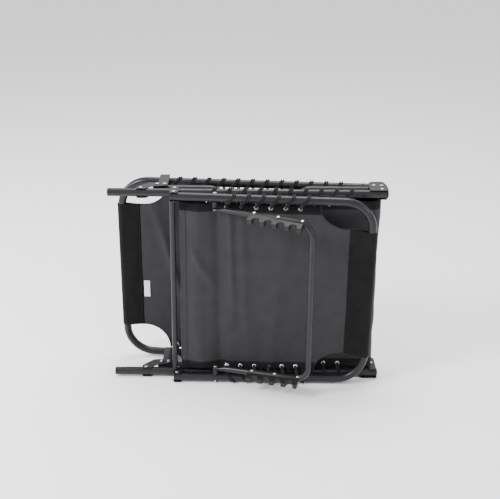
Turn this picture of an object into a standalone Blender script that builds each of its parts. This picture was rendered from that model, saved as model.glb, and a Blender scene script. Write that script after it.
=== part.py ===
"""Tri-fold reclining camp lounger, folded and standing on its long edge.

World axes: X runs along the side rails, Y is the depth of the folded pack
(the backrest lies on the -Y side, the foot section on the +Y side) and Z is
the lounger's width, so every hinge axis is vertical.  Units are metres.
The local layout below has X from the rear ends of the seat rails, Y from the
middle of the seat rails and Z from the middle of the width.
"""
import math

import bmesh
import bpy
from mathutils import Matrix, Vector

# ---------------------------------------------------------------- dimensions
RAIL_R = 0.011            # 22 mm tube of the three sections
LEG_R = 0.0095            # 19 mm tube of the two legs
PROP_R = 0.008            # 16 mm tube of the backrest prop
BAR_R = 0.0075            # 15 mm crossbar
WALL = 0.0012
GAP = 0.0003              # between touching pieces
HALF = 0.265              # middle of the side rails to the middle of the width
PLATE = 0.002             # sheet steel of the hinge plates
SEAT_LENGTH = 0.735

BACK_PIVOT = (0.174, -0.031)      # backrest hinge
BACK_START, BACK_END = 0.165, 0.692
FOOT_PIVOT = (0.723, 0.031)       # foot section hinge
FOOT_START, FOOT_END = 0.698, 0.0207
FOOT_DEPTH = 0.056                # foot section's depth behind the seat at its hinge end
SECTION_BEND = 0.076              # middle-line bend radius of both end hoops
REAR_LEG_PIVOT = (0.0855, 0.0)
REAR_LEG_START, REAR_LEG_END = 0.115, 0.308
FRONT_LEG_PIVOT = (0.702, 0.034)
FRONT_LEG_START, FRONT_LEG_END = 0.712, 0.492
LEG_DEPTH = 0.034
LEG_BEND = 0.045
PROP_PIVOT = (0.281, -0.0363)
PROP_HALF = 0.2335
PROP_LENGTH = 0.267
PROP_ANGLE = math.radians(20.0)   # how far the prop stands off the backrest
PROP_BEND = 0.038
PROP_TAPER = 0.012                # how far each arm leans in over the prop's length
SPACER_R = 0.0078
CROSSBAR = (0.168, -0.0142)
PLATE_RIVET = (0.1747, 0.0)       # fixes each back hinge plate to its seat rail
CORNER_RIVET = (0.7212, 0.002)    # fixes each corner plate to its seat rail

PROP_ARM_START = -0.005           # flattened end of each prop arm, past its pivot
PROP_FLAT = (0.35, 1.05)          # its thickness and width as shares of the round tube's
RACK_START, RACK_END = 0.0985, 0.244
TOOTH_PITCH = 0.0332
FIRST_NOTCH = 0.1225
NOTCH_COUNT = 4
NOTCH_R = 0.0098
NOTCH_LIP = 0.0035                # straight part of a notch's side above its half round
RACK_BASE = PROP_R + 0.0014     # clear of the arm where its bend begins
RACK_TIP = 0.0305
RACK_THICK = 0.015
RACK_TILT = math.radians(18.0)    # both racks sit turned down on their arms

FABRIC_EDGE = 0.2455              # hemmed side edge of the cloth
SLEEVE_HALF = 0.187               # half the width of the sleeve round an end tube
FABRIC_THICK = 0.0015
BACK_FABRIC_SET = 0.0152          # backrest cloth lies this far behind its rails' middle
LACE_R = 0.0019                   # elastic cord
LACE_END = 0.2365                 # where a lace goes through its eyelet
LACE_LEAN = 0.020                 # how far a lace runs along the rail as it goes round
EYELET_R = 0.0036
SEAT_LACES = (0.262, 0.0402, 10)  # first eyelet, pitch, count on each side
BACK_LACES = (0.312, 0.0385, 6)
FOOT_LACES = (0.165, 0.0395, 12)

PIN_R = 0.003
PIN_HOLE_R = PIN_R + GAP
HEAD_R = 0.0052
HEAD_H = 0.0024
OUTER_FACE = HALF + RAIL_R + GAP + PLATE      # outer face of the outer plates
INNER_FACE = HALF - RAIL_R - GAP - PLATE      # inner face of the inner plates
LOWEST = OUTER_FACE + GAP + HEAD_H
CENTRE = Vector((0.3675, -0.00442, -LOWEST))

SIDES = 10                        # facets round a tube


# ------------------------------------------------------------------ helpers
def clear_scene():
    for obj in list(bpy.data.objects):
        bpy.data.objects.remove(obj, do_unlink=True)


def make_material(name, colour, roughness, metallic):
    mat = bpy.data.materials.new(name)
    mat.use_nodes = True
    shader = mat.node_tree.nodes["Principled BSDF"]
    shader.inputs["Base Color"].default_value = (*colour, 1.0)
    shader.inputs["Roughness"].default_value = roughness
    shader.inputs["Metallic"].default_value = metallic
    return mat


def link_object(name, mesh, mat, smooth=True):
    obj = bpy.data.objects.new(name, mesh)
    bpy.context.scene.collection.objects.link(obj)
    obj.location = -CENTRE
    mesh.materials.append(mat)
    if smooth:
        mesh.shade_smooth()
        mesh.set_sharp_from_angle(angle=math.radians(40))
    return obj


def mesh_of(name, bm):
    bmesh.ops.recalc_face_normals(bm, faces=bm.faces)
    mesh = bpy.data.meshes.new(name)
    bm.to_mesh(mesh)
    bm.free()
    return mesh


def add_ring_skin(bm, rings):
    """Quads between neighbouring rings of vertices."""
    for ring, following in zip(rings, rings[1:]):
        count = len(ring)
        for i in range(count):
            j = (i + 1) % count
            bm.faces.new((ring[i], ring[j], following[j], following[i]))


def sweep(bm, path, normal, radius, wall=0.0, sides=SIDES, flat=None):
    """Round tube or bar along a path; `flat` gives (thin, wide) factors per point."""
    outer, inner = [], []
    for i, point in enumerate(path):
        before = path[max(i - 1, 0)]
        after = path[min(i + 1, len(path) - 1)]
        along = (after - before).normalized()
        across = (normal - along * normal.dot(along)).normalized()
        side = across.cross(along)
        thin, wide = flat[i] if flat else (1.0, 1.0)
        for rings, r in ((outer, radius), (inner, radius - wall)):
            rings.append([])
            for k in range(sides):
                a = 2 * math.pi * k / sides
                offset = side * (math.cos(a) * r * thin) + across * (math.sin(a) * r * wide)
                rings[-1].append(bm.verts.new(point + offset))
            if not wall:
                break
    add_ring_skin(bm, outer)
    if wall:
        add_ring_skin(bm, inner)
        for end in (0, -1):
            add_ring_skin(bm, (outer[end], inner[end]))
    else:
        bm.faces.new(outer[0])
        bm.faces.new(outer[-1])


def turned(bm, x, y, profile, sides=8):
    """Solid turned about a vertical axis from (radius, z) steps."""
    rings = []
    for r, z in profile:
        rings.append([bm.verts.new((x + r * math.cos(2 * math.pi * k / sides),
                                    y + r * math.sin(2 * math.pi * k / sides), z))
                      for k in range(sides)])
    add_ring_skin(bm, rings)
    bm.faces.new(rings[0])
    bm.faces.new(rings[-1])


def extruded(bm, outline, low, high):
    """Flat plate of an (x, y) outline between two heights."""
    bottom = [bm.verts.new((x, y, low)) for x, y in outline]
    top = [bm.verts.new((x, y, high)) for x, y in outline]
    add_ring_skin(bm, (bottom, top))
    bm.faces.new(bottom)
    bm.faces.new(top)


def drill(obj, centres, low, high, radius=PIN_HOLE_R):
    """Vertical holes through an object, each at (x, y)."""
    bm = bmesh.new()
    for x, y in centres:
        turned(bm, x, y, ((radius, low), (radius, high)))
    cutter = bpy.data.objects.new(obj.name + "_drill", mesh_of(obj.name + "_drill", bm))
    bpy.context.scene.collection.objects.link(cutter)
    cutter.location = -CENTRE
    cutter.hide_render = True
    cutter.display_type = "WIRE"
    cut = obj.modifiers.new("holes", "BOOLEAN")
    cut.operation = "DIFFERENCE"
    cut.object = cutter


def round_corners(points, radius, steps=3):
    """Outline with each corner replaced by a short arc."""
    result = []
    count = len(points)
    for i, corner in enumerate(points):
        here = Vector(corner)
        to_last = (Vector(points[i - 1]) - here).normalized()
        to_next = (Vector(points[(i + 1) % count]) - here).normalized()
        half_angle = to_last.angle(to_next) / 2
        reach = radius / math.tan(half_angle)
        centre = here + (to_last + to_next).normalized() * radius / math.sin(half_angle)
        start = here + to_last * reach - centre
        end = here + to_next * reach - centre
        turn = start.angle_signed(end)
        for k in range(steps + 1):
            spoke = start.copy()
            spoke.rotate(Matrix.Rotation(-turn * k / steps, 2))
            result.append(tuple(centre + spoke))
    return result


def hoop(start, end, half, bend, lead=0.012, steps=5):
    """(run, z) points of a U: top rail, bend, end tube, bend, bottom rail."""
    sign = 1.0 if end > start else -1.0
    points = [(start, half), (start + sign * lead, half)]
    for k in range(steps + 1):
        a = math.pi / 2 * k / steps
        points.append((end - sign * bend * (1 - math.sin(a)), half - bend * (1 - math.cos(a))))
    return points + [(x, -z) for x, z in reversed(points)]


# ------------------------------------------------ where the sections lie
def back_depth(x, z):
    """Backrest plane: it opens towards its free end, more at the top rail."""
    return BACK_PIVOT[1] - (x - BACK_PIVOT[0]) * (0.0495 + 0.0335 * z / HALF)


def foot_depth(x, z):
    """Foot section plane: it opens towards its free end, more at the bottom rail."""
    return FOOT_DEPTH + (0.69 - x) * (0.0945 - 0.0185 * z / HALF)


def seat_depth(x, z):
    return 0.0


def prop_point(run, z, off=0.0):
    """Point on the prop: run along its arms, off away from the backrest."""
    along = Vector((math.cos(PROP_ANGLE), -math.sin(PROP_ANGLE), 0))
    away = Vector((-math.sin(PROP_ANGLE), -math.cos(PROP_ANGLE), 0))
    lean = 1 - PROP_TAPER * run / (PROP_LENGTH * PROP_HALF)
    return Vector((*PROP_PIVOT, z * lean)) + along * run + away * off


# ----------------------------------------------------------------- pieces
def straight_tube(name, start, end, radius, mat, wall=WALL, holes=()):
    bm = bmesh.new()
    direction = (end - start).normalized()
    normal = Vector((0, 1, 0)) if abs(direction.y) < 0.5 else Vector((0, 0, 1))
    sweep(bm, [start, end], normal, radius, wall)
    obj = link_object(name, mesh_of(name, bm), mat)
    if holes:
        middle = start.z
        drill(obj, holes, middle - 0.02, middle + 0.02)
    return obj


def hoop_tube(name, points, radius, normal, mat, flat_ends=False, holes=()):
    flat = None
    if flat_ends:
        flat = [PROP_FLAT] * 2 + [(1.0, 1.0)] * (len(points) - 4) + [PROP_FLAT] * 2
    bm = bmesh.new()
    sweep(bm, points, normal, radius, WALL, flat=flat)
    obj = link_object(name, mesh_of(name, bm), mat)
    if holes:
        drill(obj, holes, -LOWEST, LOWEST)
    return obj


def plate_pair(name, outline, outer, mat, holes, radius=0.005):
    """The same plate on the top and the bottom side of the lounger."""
    low, high = ((OUTER_FACE - PLATE, OUTER_FACE) if outer else (INNER_FACE, INNER_FACE + PLATE))
    shape = round_corners(outline, radius)
    for side, (a, b) in (("top", (low, high)), ("bottom", (-high, -low))):
        bm = bmesh.new()
        extruded(bm, shape, a, b)
        obj = link_object(f"{name}_{side}", mesh_of(name, bm), mat)
        drill(obj, holes, a - 0.001, b + 0.001)


def pin_profile(low, high):
    """Riveted pin whose heads sit just outside the two heights."""
    return ((HEAD_R, low - GAP - HEAD_H), (HEAD_R, low - GAP), (PIN_R, low - GAP),
            (PIN_R, high + GAP), (HEAD_R, high + GAP), (HEAD_R, high + GAP + HEAD_H))


def pins(name, place, low, high, mat):
    """The same riveted pin on the top and the bottom side of the lounger."""
    for side, (a, b) in (("top", (low, high)), ("bottom", (-high, -low))):
        bm = bmesh.new()
        turned(bm, *place, pin_profile(a, b))
        link_object(f"{name}_{side}", mesh_of(name, bm), mat)


def cord(bm, path, radius, sides=4):
    """Solid cord along a free path, its section carried along without twist."""
    rings = []
    across = Vector((1, 0, 0))
    for i, point in enumerate(path):
        along = (path[min(i + 1, len(path) - 1)] - path[max(i - 1, 0)]).normalized()
        across = (across - along * across.dot(along)).normalized()
        side = across.cross(along)
        rings.append([bm.verts.new(point + radius * (side * math.cos(a) + across * math.sin(a)))
                      for a in (2 * math.pi * (k + 0.5) / sides for k in range(sides))])
    add_ring_skin(bm, rings)
    bm.faces.new(rings[0])
    bm.faces.new(rings[-1])


def lace_turn(slab_set):
    """(y, z) steps from the eyelet's front, round the rail, to the cloth's back."""
    ring = (RAIL_R + GAP + LACE_R) / math.cos(math.radians(21))
    clear = FABRIC_THICK / 2 + GAP + LACE_R
    inward = HALF - LACE_END
    front = Vector((slab_set - clear, -inward))
    back = Vector((slab_set * 1.27 + clear, -inward))
    start = math.atan2(front.y, front.x) - math.acos(ring / front.length)
    end = math.atan2(back.y, back.x) + math.acos(ring / back.length) - 2 * math.pi
    steps = 5
    arc = [Vector((math.cos(a), math.sin(a))) * ring
           for a in (start + (end - start) * k / steps for k in range(steps + 1))]
    return [tuple(point) for point in [front] + arc + [back]]


def lacing(name, first, pitch, count, depth, slab_set, mat):
    """One elastic cord for each side: eyelet, round the rail, back to the next eyelet."""
    turn = lace_turn(slab_set)
    for side, sign in (("top", 1), ("bottom", -1)):
        path = []
        for i in range(count):
            steps = [(first + pitch * i + LACE_LEAN * k / (len(turn) - 1), *step) for k, step in enumerate(turn)]
            if i < count - 1:
                steps.append((first + pitch * (i + 1), *turn[-1]))
            for x, dy, dz in steps:
                plane = depth(x, sign * (LACE_END if (dy, dz) in (turn[0], turn[-1]) else HALF))
                path.append(Vector((x, plane + dy, sign * (HALF + dz))))
        bm = bmesh.new()
        cord(bm, path, LACE_R)
        link_object(f"{name}_{side}", mesh_of(name, bm), mat)


def eyelet_holes(obj, first, pitch, count):
    """Holes through a cloth panel where its two laces pass."""
    bm = bmesh.new()
    for i in range(count):
        for sign in (1, -1):
            x = first + pitch * i
            path = [Vector((x, y, sign * LACE_END)) for y in (-0.12, 0.16)]
            sweep(bm, path, Vector((0, 0, 1)), EYELET_R, sides=6)
    cutter = bpy.data.objects.new(obj.name + "_punch", mesh_of(obj.name + "_punch", bm))
    bpy.context.scene.collection.objects.link(cutter)
    cutter.location = -CENTRE
    cutter.hide_render = True
    cutter.display_type = "WIRE"
    cut = obj.modifiers.new("eyelets", "BOOLEAN")
    cut.operation = "DIFFERENCE"
    cut.object = cutter


def cloth_slab(name, outline, depth, offset, mat):
    """Plain cloth panel on a section's plane, from an (x, z) outline."""
    bm = bmesh.new()
    layers = []
    for shift in (-FABRIC_THICK / 2, FABRIC_THICK / 2):
        layers.append([bm.verts.new((x, depth(x, z) + offset + shift, z)) for x, z in outline])
    add_ring_skin(bm, layers)
    for layer in layers:
        bmesh.ops.triangulate(bm, faces=[bm.faces.new(layer)])
    return link_object(name, mesh_of(name, bm), mat, smooth=False)


def panel_outline(wide_from, wide_to, narrow_to):
    """Full-width panel that narrows to its end sleeve through two hollow corners."""
    reach = FABRIC_EDGE - SLEEVE_HALF
    run = 0.62 * (narrow_to - wide_to)
    corner = []
    for k in range(5):
        a = math.pi / 2 * k / 4
        corner.append((wide_to + run * (1 - math.cos(a)), FABRIC_EDGE - reach * math.sin(a)))
    upper = [(wide_from, FABRIC_EDGE)] + corner + [(narrow_to, SLEEVE_HALF)]
    return upper + [(x, -z) for x, z in reversed(upper)]


def rack_profile():
    """(run, off) steps along a rack's toothed side, with half-round notches."""
    chamfer, shoulder = 0.004, 0.0008
    points = [(RACK_START, RACK_TIP - chamfer), (RACK_START + chamfer, RACK_TIP)]
    for i in range(NOTCH_COUNT):
        middle = FIRST_NOTCH + TOOTH_PITCH * i
        points.append((middle - NOTCH_R - shoulder, RACK_TIP))
        for k in range(7):
            a = math.pi * k / 6
            points.append((middle - NOTCH_R * math.cos(a), RACK_TIP - NOTCH_LIP - NOTCH_R * math.sin(a)))
        points.append((middle + NOTCH_R + shoulder, RACK_TIP))
    return points + [(RACK_END - chamfer, RACK_TIP), (RACK_END, RACK_TIP - chamfer)]


def rack(name, sign, mat):
    bm = bmesh.new()
    half = RACK_THICK / 2
    down, out = math.sin(RACK_TILT), math.cos(RACK_TILT)
    rings = []
    for run, tip in rack_profile():
        corners = ((-half, RACK_BASE), (half, RACK_BASE), (half, tip), (-half, tip))
        rings.append([bm.verts.new(prop_point(run, sign * PROP_HALF, off * out + rise * down)
                                   + Vector((0, 0, rise * out - off * down))) for rise, off in corners])
    add_ring_skin(bm, rings)
    bm.faces.new(rings[0])
    bm.faces.new(rings[-1])
    return link_object(name, mesh_of(name, bm), mat)


def end_plug(name, x, sign, z, mat):
    """Plug in a rail's end: a collar outside it and a spigot inside it."""
    bm = bmesh.new()
    spigot = RAIL_R - WALL - GAP
    path = [Vector((x - sign * 0.008, 0, z)), Vector((x + sign * GAP, 0, z)),
            Vector((x + sign * (GAP + 0.0001), 0, z)), Vector((x + sign * 0.0018, 0, z)),
            Vector((x + sign * 0.0028, 0, z))]
    radii = (spigot, spigot, RAIL_R, RAIL_R, RAIL_R - 0.0012)
    sweep(bm, path, Vector((0, 1, 0)), 1.0, flat=[(r, r) for r in radii])
    return link_object(name, mesh_of(name, bm), mat)


# ------------------------------------------------------------------- build
def build():
    clear_scene()
    steel = make_material("powder_coat", (0.025, 0.026, 0.029), 0.42, 0.3)
    plastic = make_material("black_plastic", (0.012, 0.012, 0.013), 0.5, 0.0)
    zinc = make_material("rivet_steel", (0.72, 0.72, 0.74), 0.3, 1.0)
    cloth = make_material("grey_cloth", (0.06, 0.06, 0.065), 0.85, 0.0)
    elastic = make_material("elastic_cord", (0.015, 0.015, 0.016), 0.9, 0.0)
    label = make_material("label", (0.8, 0.8, 0.8), 0.7, 0.0)

    build_seat(steel, plastic, zinc, cloth, elastic)
    build_backrest(steel, cloth, elastic)
    build_prop(steel, plastic, zinc)
    build_foot_section(steel, zinc, cloth, elastic, label)
    build_legs(steel, plastic, zinc)


def build_seat(steel, plastic, zinc, cloth, elastic):
    holes = (REAR_LEG_PIVOT, PLATE_RIVET, CORNER_RIVET)
    for side, z in (("top", HALF), ("bottom", -HALF)):
        straight_tube(f"seat_rail_{side}", Vector((0, 0, z)), Vector((SEAT_LENGTH, 0, z)),
                      RAIL_R, steel, holes=holes)
        end_plug(f"rear_plug_{side}", 0.0, -1, z, plastic)
        end_plug(f"front_plug_{side}", SEAT_LENGTH, 1, z, plastic)
    reach = INNER_FACE - GAP
    straight_tube("crossbar", Vector((*CROSSBAR, reach)), Vector((*CROSSBAR, -reach)), BAR_R, steel)

    x, y = BACK_PIVOT
    hinge = ((x - 0.0115, y - 0.0095), (x + 0.0115, y - 0.0095), (x + 0.0135, y + 0.016),
             (x + 0.0115, 0.0095), (x - 0.0105, 0.0095))
    hinge_holes = (BACK_PIVOT, PLATE_RIVET)
    for layer, outer in (("outer", True), ("inner", False)):
        plate_pair(f"back_hinge_plate_{layer}", hinge, outer, steel, hinge_holes)
    corner = ((0.688, -0.0095), (0.7375, -0.0095), (0.7375, 0.040), (0.730, 0.068), (0.698, 0.068),
              (0.688, 0.048))
    plate_pair("corner_plate", corner, True, steel, (FRONT_LEG_PIVOT, FOOT_PIVOT, CORNER_RIVET))

    pins("back_hinge_pin", BACK_PIVOT, INNER_FACE, OUTER_FACE, zinc)
    pins("hinge_plate_rivet", PLATE_RIVET, INNER_FACE, OUTER_FACE, zinc)
    pins("corner_plate_rivet", CORNER_RIVET, HALF + RAIL_R - 4 * WALL, OUTER_FACE, zinc)
    pins("foot_hinge_pin", FOOT_PIVOT, INNER_FACE, OUTER_FACE, zinc)
    pins("front_leg_pin", FRONT_LEG_PIVOT, HALF + LEG_R - 3 * WALL, OUTER_FACE, zinc)

    outline = [(0.203, FABRIC_EDGE), (0.700, FABRIC_EDGE), (0.700, -FABRIC_EDGE), (0.203, -FABRIC_EDGE)]
    eyelet_holes(cloth_slab("seat_fabric", outline, seat_depth, 0.0, cloth), *SEAT_LACES)
    lacing("seat_lacing", *SEAT_LACES, seat_depth, 0.0, elastic)


def build_backrest(steel, cloth, elastic):
    points = [Vector((x, back_depth(x, z), z)) for x, z in hoop(BACK_START, BACK_END, HALF, SECTION_BEND)]
    hoop_tube("backrest_frame", points, RAIL_R, Vector((0, 1, 0)), steel, holes=(BACK_PIVOT, PROP_PIVOT))
    outline = panel_outline(0.204, 0.556, 0.6795)
    eyelet_holes(cloth_slab("backrest_fabric", outline, back_depth, BACK_FABRIC_SET, cloth), *BACK_LACES)
    lacing("backrest_lacing", *BACK_LACES, back_depth, BACK_FABRIC_SET, elastic)


def build_prop(steel, plastic, zinc):
    flat_run, round_run = 0.010, 0.030
    steps = hoop(PROP_ARM_START, PROP_LENGTH, PROP_HALF, PROP_BEND, flat_run - PROP_ARM_START)
    steps.insert(2, (round_run, PROP_HALF))
    steps.insert(-2, (round_run, -PROP_HALF))
    path = [prop_point(run, z) for run, z in steps]
    normal = prop_point(0, 0, 1) - prop_point(0, 0)
    hoop_tube("prop_frame", path, PROP_R, normal, steel, flat_ends=True, holes=(PROP_PIVOT,))
    for side, sign in (("top", 1), ("bottom", -1)):
        rack(f"rack_{side}", sign, plastic)

    flat_half = PROP_R * PROP_FLAT[0]
    low = PROP_HALF + flat_half + GAP
    high = HALF - RAIL_R - GAP
    for side, (a, b) in (("top", (low, high)), ("bottom", (-high, -low))):
        bm = bmesh.new()
        turned(bm, *PROP_PIVOT, ((SPACER_R, a), (SPACER_R, b)))
        spacer = link_object(f"prop_spacer_{side}", mesh_of("prop_spacer", bm), plastic)
        drill(spacer, (PROP_PIVOT,), a - 0.001, b + 0.001)
    pins("prop_pin", PROP_PIVOT, PROP_HALF - flat_half, HALF + RAIL_R, zinc)


def build_foot_section(steel, zinc, cloth, elastic, label):
    rivet_x = 0.676
    rivet = (rivet_x, foot_depth(rivet_x, 0))
    points = [Vector((x, foot_depth(x, z), z)) for x, z in hoop(FOOT_START, FOOT_END, HALF, SECTION_BEND)]
    hoop_tube("foot_frame", points, RAIL_R, Vector((0, 1, 0)), steel, holes=(rivet,))
    link = ((0.655, 0.050), (0.700, 0.042), (0.712, -0.008), (0.735, -0.008), (0.735, 0.058),
            (0.720, 0.067), (0.655, 0.069))
    plate_pair("foot_link_plate", link, False, steel, (rivet, FOOT_PIVOT))
    pins("foot_plate_rivet", rivet, INNER_FACE, HALF + RAIL_R, zinc)

    mirrored = panel_outline(0.0, 0.552, 0.6645)
    outline = [(0.698 - x, z) for x, z in mirrored]
    eyelet_holes(cloth_slab("foot_fabric", outline, foot_depth, 0.0, cloth), *FOOT_LACES)
    lacing("foot_lacing", *FOOT_LACES, foot_depth, 0.0, elastic)

    front = FABRIC_THICK / 2 + GAP
    tag = [(0.0735, -0.037), (0.0905, -0.037), (0.0905, -0.087), (0.0735, -0.087)]
    bm = bmesh.new()
    layers = [[bm.verts.new((x, foot_depth(x, z) - front - t, z)) for x, z in tag] for t in (0.0004, 0.0)]
    add_ring_skin(bm, layers)
    for layer in layers:
        bm.faces.new(layer)
    link_object("blank_label", mesh_of("blank_label", bm), label, smooth=False)


def build_legs(steel, plastic, zinc):
    rear = [Vector((x, LEG_DEPTH, z)) for x, z in hoop(REAR_LEG_START, REAR_LEG_END, HALF, LEG_BEND)]
    arm_rivets = ((0.126, LEG_DEPTH), (0.146, LEG_DEPTH))
    hoop_tube("rear_leg_frame", rear, LEG_R, Vector((0, 1, 0)), steel, holes=arm_rivets)
    front = [Vector((x, LEG_DEPTH, z)) for x, z in hoop(FRONT_LEG_START, FRONT_LEG_END, HALF, LEG_BEND)]
    hoop_tube("front_leg_frame", front, LEG_R, Vector((0, 1, 0)), steel, holes=(FRONT_LEG_PIVOT,))

    strap_x = (0.128, 0.155)
    back = foot_depth(0.14, 0) + 0.012
    bracket = ((0.074, -0.0085), (0.098, -0.0085), (0.112, 0.012), (0.155, 0.020), (strap_x[1], back),
               (strap_x[0], back), (strap_x[0], 0.046), (0.104, 0.044), (0.074, 0.010))
    for layer, outer in (("outer", True), ("inner", False)):
        plate_pair(f"rear_leg_bracket_{layer}", bracket, outer, steel, (REAR_LEG_PIVOT,) + arm_rivets, 0.003)
    pins("rear_leg_pin", REAR_LEG_PIVOT, INNER_FACE, OUTER_FACE, zinc)
    for number, place in enumerate(arm_rivets, 1):
        pins(f"rear_leg_rivet_{number}", place, INNER_FACE, OUTER_FACE, zinc)

    for side, sign in (("top", 1), ("bottom", -1)):
        near_x = 0.134
        near = foot_depth(0.150, sign * HALF) - RAIL_R - GAP - 0.0005
        outline = [(near_x, LEG_DEPTH + LEG_R + GAP), (0.150, LEG_DEPTH + LEG_R + GAP), (0.150, near),
                   (near_x, near)]
        bm = bmesh.new()
        low, high = sorted((sign * (INNER_FACE + PLATE + GAP), sign * (OUTER_FACE - PLATE - GAP)))
        extruded(bm, outline, low, high)
        link_object(f"rail_cradle_{side}", mesh_of("rail_cradle", bm), plastic, smooth=False)


build()
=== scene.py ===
"""Looks of a tri-fold reclining camp lounger, folded and standing on its long edge.

The layout has X from the rear ends of the seat rails, Y from the middle of the
seat rails (the backrest lies towards -Y, the foot section towards +Y) and Z from
the middle of the width.  at() turns a layout place into the frame's own place.
Units are metres.
"""
import math

import bmesh
import bpy
from mathutils import Matrix, Vector, noise


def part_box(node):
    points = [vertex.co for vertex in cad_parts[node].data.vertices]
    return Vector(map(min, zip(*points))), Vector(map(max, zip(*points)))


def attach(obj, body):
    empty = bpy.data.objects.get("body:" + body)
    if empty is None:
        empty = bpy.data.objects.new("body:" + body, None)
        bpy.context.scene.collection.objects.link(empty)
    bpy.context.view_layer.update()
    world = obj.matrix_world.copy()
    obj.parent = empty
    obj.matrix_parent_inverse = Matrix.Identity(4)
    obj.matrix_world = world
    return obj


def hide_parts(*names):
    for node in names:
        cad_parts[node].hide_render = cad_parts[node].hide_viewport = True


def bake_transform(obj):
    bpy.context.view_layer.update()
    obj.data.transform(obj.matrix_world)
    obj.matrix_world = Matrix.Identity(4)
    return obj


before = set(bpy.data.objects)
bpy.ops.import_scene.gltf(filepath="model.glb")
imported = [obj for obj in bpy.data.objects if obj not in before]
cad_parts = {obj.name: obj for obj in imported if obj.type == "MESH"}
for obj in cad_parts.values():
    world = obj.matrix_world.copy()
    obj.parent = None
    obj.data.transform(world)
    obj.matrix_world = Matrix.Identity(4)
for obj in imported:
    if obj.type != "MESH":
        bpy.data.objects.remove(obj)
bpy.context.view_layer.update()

# ---------------------------------------------------------------- dimensions
RAIL_R = 0.011
LEG_R = 0.0095
PROP_R = 0.008
BAR_R = 0.0075
WALL = 0.0012
GAP = 0.0003
HALF = 0.265
PLATE = 0.002
SEAT_LENGTH = 0.735
INNER_FACE = HALF - RAIL_R - GAP - PLATE

BACK_PIVOT = (0.174, -0.031)
BACK_START, BACK_END = 0.165, 0.692
FOOT_START, FOOT_END = 0.698, 0.0207
FOOT_DEPTH = 0.056
SECTION_BEND = 0.076
REAR_LEG_START, REAR_LEG_END = 0.115, 0.308
FRONT_LEG_START, FRONT_LEG_END = 0.712, 0.492
LEG_DEPTH = 0.034
LEG_BEND = 0.045
PROP_PIVOT = (0.281, -0.0363)
PROP_HALF = 0.2335
PROP_LENGTH = 0.267
PROP_ANGLE = math.radians(20.0)
PROP_BEND = 0.038
PROP_TAPER = 0.012
PROP_ARM_START = -0.005
CROSSBAR = (0.168, -0.0142)

RACK_START, RACK_END = 0.0985, 0.244
TOOTH_PITCH = 0.0332
FIRST_NOTCH = 0.1225
NOTCH_COUNT = 4
NOTCH_R = 0.0098
NOTCH_LIP = 0.0035
RACK_BASE = PROP_R + 0.0014
RACK_TIP = 0.0305
RACK_THICK = 0.015
RACK_TILT = math.radians(18.0)
RACK_RIVETS = (0.110, 0.175, 0.240)

FABRIC_EDGE = 0.2455
FABRIC_THICK = 0.0013
BACK_FABRIC_SET = 0.0152
LACE_END = 0.2365
LACE_LEAN = 0.020
SEAT_LACES = (0.262, 0.0402, 10)
BACK_LACES = (0.312, 0.0385, 6)
FOOT_LACES = (0.165, 0.0395, 12)

CLOTH_STEP = 0.003            # spacing of the cloth's grid
HEM = 0.024                   # width of the black hem bands
HEM_EDGE = FABRIC_EDGE - HEM
SLEEVE_HALF = 0.187           # half the width of the end sleeves
BACK_SHIFT = -0.004           # how far each sleeve has slid along its end tube
FOOT_SHIFT = 0.010
CORNER_SHARE = 0.62           # how much of a cloth's narrow end its hollow corners take
RELIEF_FADE = 0.016           # run over which folds die out at a panel's ends
HOLE_R = 0.0050               # opening left in the cloth at an eyelet
SLEEVE_STEP = 0.004
EYELET_HOLE = 0.0034
EYELET_R = 0.0062
CORD_R = 0.0021               # each of the lacing's two strands
CORD_SPREAD = 0.0029          # half the distance between the two strands
BACK_CLOTH_START = 0.204
BACK_CLOTH_WIDE, BACK_CLOTH_END = 0.556, 0.6795
SEAT_CLOTH_START, SEAT_CLOTH_END = 0.203, 0.700
FOOT_CLOTH_START = 0.698      # its runs are counted from here towards the rear ends
FOOT_CLOTH_WIDE, FOOT_CLOTH_END = 0.552, 0.6645
FOOT_EDGE = 0.0045            # how far the foot cloth's edges reach past the others
BACK_SEAM, FOOT_SEAM = 0.636, 0.070
BINDING_R = 0.0014
STITCH_STEP = 0.0014
SHARP_EDGE = 40.0             # degrees
CLOTH_SHARP = 80.0
RAMP_START, RAMP_END = 0.3, 0.7

rail_low, rail_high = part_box("seat_rail_top")
lower_rail_low, lower_rail_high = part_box("seat_rail_bottom")
ORIGIN = Vector((rail_low.x, (rail_low.y + rail_high.y) / 2, (rail_high.z + lower_rail_low.z) / 2))


def at(x, y, z):
    return ORIGIN + Vector((x, y, z))


def back_depth(x, z):
    return BACK_PIVOT[1] - (x - BACK_PIVOT[0]) * (0.0495 + 0.0335 * z / HALF)


def foot_depth(x, z):
    return FOOT_DEPTH + (0.69 - x) * (0.0945 - 0.0185 * z / HALF)


def seat_depth(x, z):
    return 0.0


def prop_point(run, z, off=0.0):
    """Place on the prop: run along its arms, off away from the backrest."""
    along = Vector((math.cos(PROP_ANGLE), -math.sin(PROP_ANGLE), 0))
    away = Vector((-math.sin(PROP_ANGLE), -math.cos(PROP_ANGLE), 0))
    lean = 1 - PROP_TAPER * run / (PROP_LENGTH * PROP_HALF)
    return at(*PROP_PIVOT, z * lean) + along * run + away * off


# ------------------------------------------------------------------ materials
def new_material(name, roughness, metallic=0.0):
    """A Principled material, its node tree and its shader."""
    mat = bpy.data.materials.new(name)
    mat.use_nodes = True
    shader = mat.node_tree.nodes["Principled BSDF"]
    shader.inputs["Roughness"].default_value = roughness
    shader.inputs["Metallic"].default_value = metallic
    return mat, mat.node_tree, shader


def coordinate(tree, kind, scale):
    """Texture coordinates stretched by a factor along each axis."""
    source = tree.nodes.new("ShaderNodeTexCoord")
    mapping = tree.nodes.new("ShaderNodeMapping")
    mapping.inputs["Scale"].default_value = scale
    tree.links.new(source.outputs[kind], mapping.inputs["Vector"])
    return mapping.outputs["Vector"]


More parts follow.
